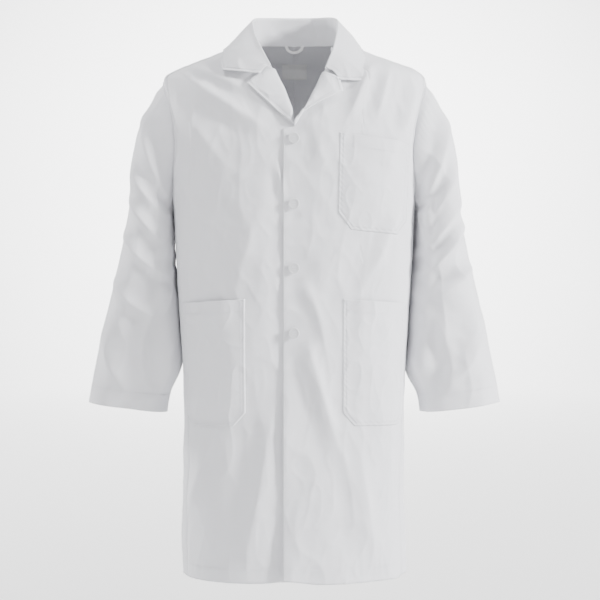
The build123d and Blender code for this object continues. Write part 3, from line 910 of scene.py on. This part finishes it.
def pocket_grid(outline, columns=90, rows=120):
    """A grid over a pocket's outline: columns run from the mouth to the bottom. Gives places seen from the
    front, with each point's share across and down, and its distance from the sewn edges."""
    p = np.array(outline)
    u, v = np.meshgrid(np.linspace(0, 1, columns), np.linspace(0, 1, rows))
    mouth = p[0] + u[..., None] * (p[1] - p[0])
    place = mouth * (1 - v[..., None]) + np.stack(pocket_bottom(p, u), axis=-1) * v[..., None]
    return place, u, v, from_sewn_edges(p, place)


def pocket_lift(name, u, v, edge, place):
    """How far a pocket stands off its front: sewn down at its sides and bottom, and gaping at its mouth."""
    gape, where = POCKET_GAPE[name]
    sewn = smooth_step(0.0, 0.0022, edge)
    stitched = 1 - 0.35 * np.exp(-(((edge - 0.0052) / 0.0016) ** 2))
    free = smooth_step(0.006, 0.038, edge)
    belly = 0.0022 * free + gape * free * np.exp(-(v / 0.30) ** 1.5) * np.exp(-(((u - where) / 0.34) ** 2))
    pucker = 0.00035 * np.exp(-((edge / 0.008) ** 2)) * np.sin((place[..., 0] + place[..., 1]) * 620)
    spot = np.stack([place[..., 0], 0 * u, place[..., 1]], axis=-1)
    soft = waves(spot, 0.034, 11) * 0.0013 * free
    return 0.0016 * sewn * stitched + belly + soft * (1 - 0.4 * v) + pucker * sewn


def pocket(name, outline, side):
    """A patch pocket with its turned-in edges, its hem at the mouth and its rows of stitches."""
    place, u, v, edge = pocket_grid(outline)
    base = front_base(side * place[..., 0], place[..., 1])
    under = front_lift(side, place[..., 0], place[..., 1])
    lift = under + pocket_lift(name, u, v, edge, place)
    points = on_form(base, lift)
    piece = cloth(f"cloth_{name}", points, facing=outward(base), thickness=1.0 * MM, replaced=(name,))
    with_front(piece, side)
    hem_rows = v[:, 0] * abs(outline[0][1] - outline[5][1]) < 0.020
    inner = on_form(base[hem_rows], lift[hem_rows] - 1.3 * MM * smooth_step(0, 0.004, edge[hem_rows]))
    lining = cloth(f"cloth_{name}_hem", inner[:, 3:-3], facing=-outward(base[hem_rows])[:, 3:-3],
                   thickness=0.5 * MM)
    with_front(lining, side)
    rows = [row_inside(outline, gap, side, name) for gap in (2.2 * MM, 7.5 * MM)]
    down = 0.0195 / abs(outline[0][1] - outline[5][1])
    index = int(down * (len(v) - 1))
    rows.append(raised(points[index], outward(base)[index], 0.35 * MM)[3:-3])
    with_front(stitch_rows(f"stitches_{name}", rows, None), side)


def row_inside(outline, gap, side, name):
    """A stitching path a fixed gap inside a pocket's sewn edges, from one end of the mouth to the other."""
    p = np.array(outline)[[0, 5, 4, 3, 2, 1]]
    middle = p.mean(axis=0)
    lines = []
    for a, b in zip(p[:-1], p[1:]):
        along = (b - a) / np.linalg.norm(b - a)
        n = np.array([-along[1], along[0]])
        n = n if n @ (middle - a) > 0 else -n
        lines.append((a + n * gap, along))
    corners = [lines[0][0]]
    for (a, d), (b, e) in zip(lines[:-1], lines[1:]):
        t = np.cross(b - a, e) / np.cross(d, e)
        corners.append(a + d * t)
    last, along = lines[-1]
    corners.append(last + along * np.linalg.norm(p[-1] - p[-2]))
    flat, lift = over_pocket(name, outline, side, resample(np.array(corners), 1.2 * MM))
    return path_on(flat, lift + 0.3 * MM)


def pocket_shares(outline, places):
    """A place's share across and down a pocket, and its distance from the sewn edges."""
    p = np.array(outline)
    u = (places[:, 0] - p[0, 0]) / (p[1, 0] - p[0, 0])
    for _ in range(12):
        mouth = p[0] + u[:, None] * (p[1] - p[0])
        bx, bz = pocket_bottom(p, u)
        v = np.clip((places[:, 1] - mouth[:, 1]) / (bz - mouth[:, 1]), 0, 1)
        u = u + (places[:, 0] - (mouth[:, 0] * (1 - v) + bx * v)) / (p[1, 0] - p[0, 0])
    return np.clip(u, 0, 1), v, from_sewn_edges(p, places)


def over_pocket(name, outline, side, path):
    """Points of the form along a path over a pocket, and how far the pocket stands off them."""
    u, v, edge = pocket_shares(outline, path)
    flat = front_base(side * path[:, 0], path[:, 1])
    return flat, front_lift(side, path[:, 0], path[:, 1]) + pocket_lift(name, u, v, edge, path)


def tack(name, outline, side):
    """The bar tack, packed zigzag stitches, at the inner end of a pocket's mouth."""
    a, b = np.array(outline[0]), np.array(outline[1])
    along = (b - a) / np.linalg.norm(b - a)
    start = a + along * 2.0 * MM + np.array([0, -1.6 * MM])
    rows = []
    for step in range(14):
        middle = start + np.array([0, -0.55 * MM]) * step
        flat, lift = over_pocket(name, outline, side, np.array([middle, middle + along * 2.4 * MM]))
        rows.append(path_on(flat, lift.max() + 0.05 * MM))
    piece = stitch_rows(f"tacks_{name}", rows, None, pitch=2.4 * MM, length=2.3 * MM, radius=0.28 * MM)
    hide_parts(name + "_tack")
    with_front(piece, side)


for name, outline, side in (("chest_pocket", CHEST_POCKET, 1), ("lower_pocket_left", LOWER_POCKET, 1),
                            ("lower_pocket_right", LOWER_POCKET, -1)):
    pocket(name, outline, side)
    tack(name, outline, side)


# ---- lapels --------------------------------------------------------------------------------------
# Each lapel's outline from the gorge out to the notch, the tip, and down to where the roll starts.
LAPELS = {
    1: dict(gorge=(0.053, -0.066), notch=(0.083, -0.0765), tip=(0.0905, -0.1015), belly=(0.019, -0.1405)),
    -1: dict(gorge=(0.036, -0.058), notch=(0.0610, -0.0650), tip=(0.0870, -0.0870), belly=(0.027, -0.1415)),
}


def quadratic(a, b, c, t):
    """A bow from a to c that passes near b."""
    a, b, c, t = np.array(a), np.array(b), np.array(c), np.asarray(t)[..., None]
    middle = 2 * b - (a + c) / 2
    return (1 - t) ** 2 * a + 2 * t * (1 - t) * middle + t**2 * c


def roll_path(side, top_z, count):
    """Places down a roll line from a height to where it meets the front's edge."""
    line = np.array(ROLL[side][:-1])
    z = np.linspace(top_z, line[-1, 1], count)
    return np.stack([np.interp(-z, -line[:, 1], line[:, 0]), z], axis=-1)


def lapel(side, word, rows=120, columns=80):
    """The front's cloth turned back over itself along the roll line."""
    cut = LAPELS[side]
    roll = roll_path(side, cut["gorge"][1], rows)
    w = np.concatenate([np.linspace(0, 0.8, columns - 30, endpoint=False), np.linspace(0.8, 1, 30)])
    s = np.linspace(0, 1, rows)
    outer = quadratic(cut["tip"], cut["belly"], roll[-1] + np.array([0.0015, 0]), s)
    across = roll[:, None] * (1 - w[None, :, None]) + outer[:, None] * w[None, :, None]
    gorge, notch, tip = (np.array(cut[key]) for key in ("gorge", "notch", "tip"))
    share = np.linalg.norm(notch - gorge) / (np.linalg.norm(notch - gorge) + np.linalg.norm(tip - notch))
    top = np.stack([np.interp(w, [0, share, 1], [gorge[k], notch[k], tip[k]]) for k in (0, 1)], axis=-1)
    bend = top - (roll[0] * (1 - w[:, None]) + outer[0] * w[:, None])
    place = across + ((1 - s) ** 3)[:, None, None] * bend[None]
    reach = np.linalg.norm(outer - roll, axis=1)[:, None] * w[None, :]
    edge = np.minimum(np.linalg.norm(outer - roll, axis=1)[:, None] * (1 - w[None, :]),
                      (s * 0.1)[:, None] + 0.05 * (1 - smooth_step(0.3, 0.5, w))[None, :])
    full = smooth_step(0, 0.02, np.linalg.norm(outer - roll, axis=1))[:, None]
    roll_up = 0.0048 * (1 - np.exp(-reach / 0.0022)) * np.exp(-reach / 0.05)
    lift = 0.0008 + full * (roll_up + 0.0020 * np.sin(np.pi * w[None, :]) + 0.0026 * w[None, :])
    spot = np.stack([place[..., 0], 0 * place[..., 0], place[..., 1]], axis=-1)
    lift = lift + 0.0012 * waves(spot, 0.05, 17 + side) * full * w[None, :]
    lift = lift + 0.0016 * creases(spot, 0.035, 19 + side, 5, 0.7) * full
    lift = lift + 0.0008 * bump(edge, 0.0014, 0.0014) * full - 0.0005 * bump(edge, 0.0062, 0.0018) * full
    lift = lift - 0.0011 * np.exp(-(edge / 0.0008) ** 2)
    inward = 0.0022 * np.exp(-((reach - 0.0015) / 0.0025) ** 2) * full
    place = place + np.stack([-inward, -0.5 * inward], axis=-1)
    base = front_base(side * place[..., 0], place[..., 1])
    under = front_lift(side, place[..., 0], place[..., 1])
    points = on_form(base, under + lift)
    piece = cloth(f"cloth_lapel_{word}", points, facing=outward(base), thickness=1.5 * MM,
                  replaced=(f"lapel_{word}",))
    with_front(piece, side)
    n = outward(base)
    k = columns - 1 - 19
    row = raised(points[2:, k], n[2:, k], 0.3 * MM)
    upper = raised(points[3, :k], n[3, :k], 0.3 * MM)
    with_front(stitch_rows(f"stitches_lapel_{word}", [row, upper], None), side)


for side, word in SIDES:
    lapel(side, word)


# ---- collar --------------------------------------------------------------------------------------
# Stations round the collar from the centre back to its front end: neck seam, top of the fold and edge.
COLLAR = {
    1: [((0, 62.2, -3), (0, 59, 54), (0, 82, -14)), ((44, 57.4, -3), (42, 53, 54), (60, 78, -14)),
        ((72, 43, -3), (69, 31, 52), (106, 48, -12)), ((85, 3, -3), (79, 2, 45), (122, 6, -12)),
        ((82, -26, -2), (80, -28, 30), (132, -38, -24)), ((82, -48, -3), (78, -56, 11), (139, -68, -50)),
        ((78, -78, -30), (70, -88, -22), (138, -93, -82)),
        ((66, -94, -56), (57, -102, -56), (84, -106, -80))],
    -1: [((0, 62.2, -3), (0, 59, 54), (0, 82, -14)), ((44, 57.4, -3), (42, 53, 54), (60, 78, -14)),
         ((72, 43, -3), (68, 31, 51), (104, 48, -11)), ((85, 3, -3), (77, 2, 43), (119, 6, -9)),
         ((82, -26, -2), (75, -29, 26), (128, -40, -17)), ((80, -48, -3), (69, -58, 5), (134, -70, -36)),
         ((70, -78, -28), (57, -92, -22), (132, -95, -61)),
         ((54, -94, -52), (41, -104, -52), (62, -107, -69))],
}


def collar_section(neck, fold, edge, w):
    """One section of the collar: up the stand, over a rounded fold, and down the fall to its edge."""
    fall = edge - fold
    out = fall * np.array([1, 1, 0])
    out = out / (np.linalg.norm(out) + 1e-9)
    up = np.array([0, 0, 1.0])
    keys = [0.0, 0.18, 0.30, 0.345, 0.39, 0.55, 0.8, 1.0]
    points = [neck, neck + 0.6 * (fold - neck) - out * 1.2 * MM, fold - up * 2.4 * MM - out * 0.4 * MM,
              fold + out * 2.2 * MM, fold + out * 5.0 * MM - up * 2.6 * MM,
              fold + fall * 0.36 + (out * 2.4 + up * 3.4) * MM,
              fold + fall * 0.72 + (out * 1.6 + up * 2.6) * MM, edge]
    return spline(keys, np.array(points), w)


def spline(keys, values, at):
    """A Catmull-Rom curve through values at keys."""
    keys = np.asarray(keys, float)
    slope = np.gradient(values, keys, axis=0)
    i = np.clip(np.searchsorted(keys, at, side="right") - 1, 0, len(keys) - 2)
    h = (keys[i + 1] - keys[i])[:, None]
    t = ((at - keys[i]) / h[:, 0])[:, None]
    return ((2 * t**3 - 3 * t**2 + 1) * values[i] + (t**3 - 2 * t**2 + t) * h * slope[i]
            + (3 * t**2 - 2 * t**3) * values[i + 1] + (t**3 - t**2) * h * slope[i + 1])


def collar_grid(columns=240, rows=92):
    """The whole collar as a grid, from the right front end round the back to the left front end."""
    right = np.array(COLLAR[-1][::-1], float) * MM * np.array([-1, 1, 1])
    stations = np.concatenate([right, np.array(COLLAR[1][1:], float) * MM])
    along = travelled(stations[:, 1]) + 0.6 * travelled(stations[:, 2])
    at = np.linspace(0, along[-1], columns)
    sections = spline(along, stations.reshape(len(stations), 9), at).reshape(columns, 3, 3)
    for k in range(3):  # the leaves' points are sharp
        straight = np.interp(at, along, stations[:, 2, k])
        front = np.maximum(smooth_step(along[-3], along[-2], at), smooth_step(along[2], along[1], at))
        sections[:, 2, k] += front * (straight - sections[:, 2, k])
    w = np.concatenate([np.linspace(0, 0.27, 16, endpoint=False), np.linspace(0.27, 0.42, 18, endpoint=False),
                        np.linspace(0.42, 0.86, rows - 58, endpoint=False), np.linspace(0.86, 1, 24)])
    return np.stack([collar_section(*part, w) for part in sections], axis=1), w


def collar():
    """Stand and fall of the collar in one folded piece, soft along its edge, with its edge stitches."""
    grid, w = collar_grid()
    n = grid_normals(grid)
    middle = grid[-1].mean(axis=0)
    lower = grid[len(w) * 3 // 4:, :] - middle
    n = n if np.sum(n[len(w) * 3 // 4:] * lower) > 0 else -n
    share = smooth_step(0.45, 1.0, w)[:, None]
    stand = (smooth_step(0.02, 0.12, w) * (1 - smooth_step(0.22, 0.40, w)))[:, None]
    creased = creases(grid, 0.045, 23, 5, 0.6)
    soft = (0.0034 * waves(grid, 0.055, 21) + 0.0030 * creased) * share - 0.0016 * creased * stand
    soft = soft + 0.0008 * waves(grid, 0.016, 22) * (share + stand)
    below = np.linalg.norm(grid - grid[-1:], axis=-1)
    soft = soft + 0.0009 * bump(below, 0.0012, 0.0016) - 0.0006 * bump(below, 0.0062, 0.0018)
    grid = grid + n * soft[..., None]
    piece = cloth("cloth_collar", grid, facing=n, thickness=1.7 * MM,
                  replaced=("collar_stand", "collar_fall"))
    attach(piece, "coat_body")
    k = len(w) - 16
    row = raised(grid[k], n[k], 0.3 * MM)[4:-4]
    ends = [raised(grid[36:k + 1, j], n[36:k + 1, j], 0.3 * MM) for j in (4, -5)]
    stitch_rows("stitches_collar", [row, *ends], "coat_body")


collar()


# ---- seams, vent, label and loop -----------------------------------------------------------------
def across_line(line):
    """The direction along the form and square to a line on it, at each of the line's points."""
    across = np.cross(outward(line), np.gradient(line, axis=0))
    return across / np.linalg.norm(across, axis=-1, keepdims=True)


def band(name, base, width, lift, replaced):
    """A narrow strip of cloth along a line on the form."""
    offsets = np.linspace(-width / 2, width / 2, 5)
    grid = base[:, None] + across_line(base)[:, None] * offsets[None, :, None]
    raise_up = lift * np.clip(1 - (np.abs(offsets) / (width / 2)) ** 6, 0, 1)
    points = on_form(grid, raise_up[None, :] + 0 * grid[..., 0])
    piece = cloth(name, points, facing=outward(grid), replaced=replaced, thickness=0.4 * MM)
    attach(piece, "coat_body")


seam_z = side_rows(400)
for side, word in SIDES:
    x = column_x(np.array(side_x()), seam_z)
    line = front_base(side * x, seam_z)
    clear = armhole_reach(line) > 1.0
    upper, lower = line[clear & (line[:, 2] > ARM_Z)], line[clear & (line[:, 2] < ARM_Z)]
    band(f"cloth_shoulder_seam_{word}", upper, 11 * MM, 0.7 * MM, replaced=(f"shoulder_seam_{word}",))
    band(f"cloth_side_seam_{word}", lower, 11 * MM, 0.6 * MM, replaced=(f"side_seam_{word}",))
    rows = []
    for part in (upper, lower):
        across = across_line(part)
        rows += [path_on(part + across * gap, 0.75 * MM) for gap in (-2.8 * MM, 2.8 * MM)]
    stitch_rows(f"stitches_seams_{word}", rows, "coat_body")


def back_base(x, z):
    """Points of the bare form's back at places seen from behind."""
    a, _, depth = section(z)
    inside = np.clip(1 - (np.abs(x) / a) ** POWER, 1e-4, 1)
    return np.stack([x + 0 * z, depth * inside ** (1 / POWER), z + 0 * x], axis=-1)


def back_details():
    """The seam down the centre back, the vent's underlap, the back's hem and their stitches."""
    z = np.linspace(-0.004, VENT_TOP, 300)
    rows = [path_on(back_base(np.full_like(z, -3.2 * MM), z), 0.4 * MM)]
    z = np.linspace(VENT_TOP, HEM + 0.004, 180)
    rows.append(path_on(back_base(np.full_like(z, VENT_LAP * 0.8), z), 1.6 * MM))
    x = np.linspace(0.001, VENT_LAP * 0.8, 20)
    rows.append(path_on(back_base(x, VENT_TOP + 0.6 * (x / VENT_LAP) * -0.02), 1.6 * MM))
    stitch_rows("stitches_back", rows, "coat_body")
    x, z = np.meshgrid(np.linspace(-0.016, VENT_LAP, 20), np.linspace(VENT_TOP + 0.004, HEM + 0.003, 160))
    base = back_base(x, z)
    piece = cloth("cloth_vent_underlap", on_form(base, -1.4 * MM), facing=outward(base),
                  replaced=("vent_underlap",))
    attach(piece, "coat_body")
    for side, word in SIDES:
        strip = back_grid(side)
        low = strip[strip[:, 0, 2] < HEM + HEM_DEPTH]
        points = on_form(low, back_lift(side, low) - 1.2 * MM)
        replaced = ("hem_back",) if side > 0 else ()
        piece = cloth(f"cloth_hem_back_{word}", points, facing=-outward(low),
                      replaced=replaced)
        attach(piece, "coat_body")
        seam = back_grid(side, rows=400)
        line = seam[int(np.argmin(np.abs(seam[:, 0, 2] - HEM - HEM_DEPTH + 2 * MM)))]
        path = path_on(line, back_lift(side, line) + 0.35 * MM)
        stitch_rows(f"stitches_hem_back_{word}", [path], "coat_body")


back_details()


def neck_label():
    """A blank woven label, its ends turned under and sewn inside the back of the neck."""
    x, z = np.meshgrid(np.linspace(-0.024, 0.024, 49), np.linspace(-0.034, -0.062, 29))
    base = back_base(x, z)
    edge = np.minimum(0.024 - np.abs(x), np.minimum(-0.034 - z, z + 0.062))
    lift = -1.6 * MM - 0.5 * MM * smooth_step(0, 0.002, edge) - 0.5 * MM * bump(x, 0.004, 0.012)
    points = on_form(base, lift)
    piece = cloth("tape_neck_label", points, facing=-outward(base),
                  material=TAPE_LOOK, thickness=0.4 * MM, replaced=("neck_label",))
    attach(piece, "coat_body")
    rows = []
    for edge_x in (-0.0225, 0.0225):
        line_z = np.linspace(-0.036, -0.060, 20)
        line = back_base(np.full_like(line_z, edge_x), line_z)
        rows.append(np.concatenate([on_form(line, -2.4 * MM), -outward(line)], axis=-1))
    stitch_rows("stitches_label", rows, "coat_body", pitch=2.2 * MM, length=1.6 * MM)


neck_label()


def hanger_loop():
    """A loop of narrow folded tape hanging flat from the neck seam, with raised edges and a soft crease."""
    low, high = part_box("hanger_loop")
    half, drop, tape = (high[0] - low[0]) / 2, high[2] - low[2], 5 * MM
    middle_x, y = (high[0] + low[0]) / 2, (low[1] + high[1]) / 2
    turn = np.linspace(0.03, math.pi - 0.03, 70)
    line = np.stack([middle_x - (half - tape / 2) * np.cos(turn), 0 * turn + y,
                     high[2] - (drop - tape / 2) * np.sin(turn) ** 0.8], axis=-1)
    along = np.gradient(line, axis=0)
    across = np.cross(along, (0, 1.0, 0))
    across = across / np.linalg.norm(across, axis=-1, keepdims=True)
    offsets = np.linspace(-0.49, 0.49, 13)
    ribs = 0.16 * MM * np.cos(offsets * 2 * math.pi * 2)
    grid = line[:, None] + across[:, None] * (offsets * tape)[None, :, None]
    grid = grid + np.array([0, -1.0, 0]) * (0.5 * MM + ribs)[None, :, None]
    piece = sheet_mesh("tape_hanger_loop", grid, TAPE_LOOK, facing=(0, -1.0, 0), thickness=1.0 * MM)
    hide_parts("hanger_loop")
    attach(piece, "hanger_loop")


hanger_loop()


# ---- stage ---------------------------------------------------------------------------------------
BACKDROP_GLOW, GLOW_REACH = 5.0, 3.6  # the wall behind glows most, out to this far from its middle
BASE_GLOW, WORLD_LIGHT = 0.10, 0.13
LAMPS = [((5.2, -1.9, 1.5), 0.9, 860), ((-4.4, -3.6, 0.2), 2.0, 24), ((-0.9, -0.9, 2.4), 0.5, 72),
         ((-4.6, 2.4, 1.6), 1.0, 260)]  # place, size and power of each


def stage_and_light():
    """A pale floor that curves up behind the coat and glows as painted light, most in a round pool on the
    wall behind it; soft light from the front, and the camera.
    """
    floor_z, radius, bend = HEM - 0.30, 9.0, 2.0
    turn = np.linspace(0, math.pi / 2, 10)
    curved = zip(radius - bend + bend * np.sin(turn), floor_z + bend * (1 - np.cos(turn)))
    profile = [(0.0002, floor_z), *curved, (radius, floor_z + 7)]
    around = np.linspace(0, 2 * math.pi, 97)
    points = np.array([[(r * math.cos(t), r * math.sin(t), z) for t in around] for r, z in profile], float)
    white, shader = new_material("studio white", (0.82, 0.82, 0.82), 0.95)
    coords = white.node_tree.nodes.new("ShaderNodeTexCoord")
    split = white.node_tree.nodes.new("ShaderNodeSeparateXYZ")
    link(white, coords.outputs["Object"], split.inputs[0])
    # Painted light: the floor and wall glow, most in a round pool on the wall behind the coat, over a faint
    # glow everywhere.
    behind = maths(white, "MAXIMUM", maths(white, "DIVIDE", split.outputs[1], radius), 0)
    behind = maths(white, "MINIMUM", behind, 1)
    off_x = maths(white, "POWER", maths(white, "DIVIDE", split.outputs[0], GLOW_REACH), 2)
    off_z = maths(white, "POWER", maths(white, "DIVIDE", split.outputs[2], GLOW_REACH), 2)
    near = maths(white, "MAXIMUM", maths(white, "SUBTRACT", 1, maths(white, "ADD", off_x, off_z)), 0)
    glow = maths(white, "MULTIPLY", maths(white, "MULTIPLY", behind, near), BACKDROP_GLOW)
    glow = maths(white, "ADD", glow, BASE_GLOW)
    shader.inputs["Emission Color"].default_value = (1, 1, 1, 1)
    link(white, glow, shader.inputs["Emission Strength"])
    floor = sheet_mesh("studio_floor", points, white, thickness=0, closed=True)
    middle = Vector((0.011, 0, -0.489))
    for place, size, power in LAMPS:
        lamp = bpy.data.lights.new("soft light", "AREA")
        lamp.energy, lamp.size = power, size
        holder = bpy.data.objects.new("soft light", lamp)
        holder.location = place
        holder.rotation_euler = (middle - Vector(place)).to_track_quat("-Z", "Y").to_euler()
        bpy.context.scene.collection.objects.link(holder)
    world = bpy.data.worlds.new("studio")
    world.use_nodes = True
    world.node_tree.nodes["Background"].inputs[0].default_value = (0.93, 0.95, 1.0, 1)
    world.node_tree.nodes["Background"].inputs[1].default_value = WORLD_LIGHT
    bpy.context.scene.world = world
    distance, width, eye_z = 3.2, 1.140, -0.36
    camera = bpy.data.cameras.new("camera")
    camera.lens = camera.sensor_width * distance / width
    camera.shift_y = (middle.z - eye_z) / width
    holder = bpy.data.objects.new("camera", camera)
    holder.location = (middle.x, -distance, eye_z)
    holder.rotation_euler = (math.pi / 2, 0, 0)
    bpy.context.scene.collection.objects.link(holder)
    bpy.context.scene.camera = holder


stage_and_light()
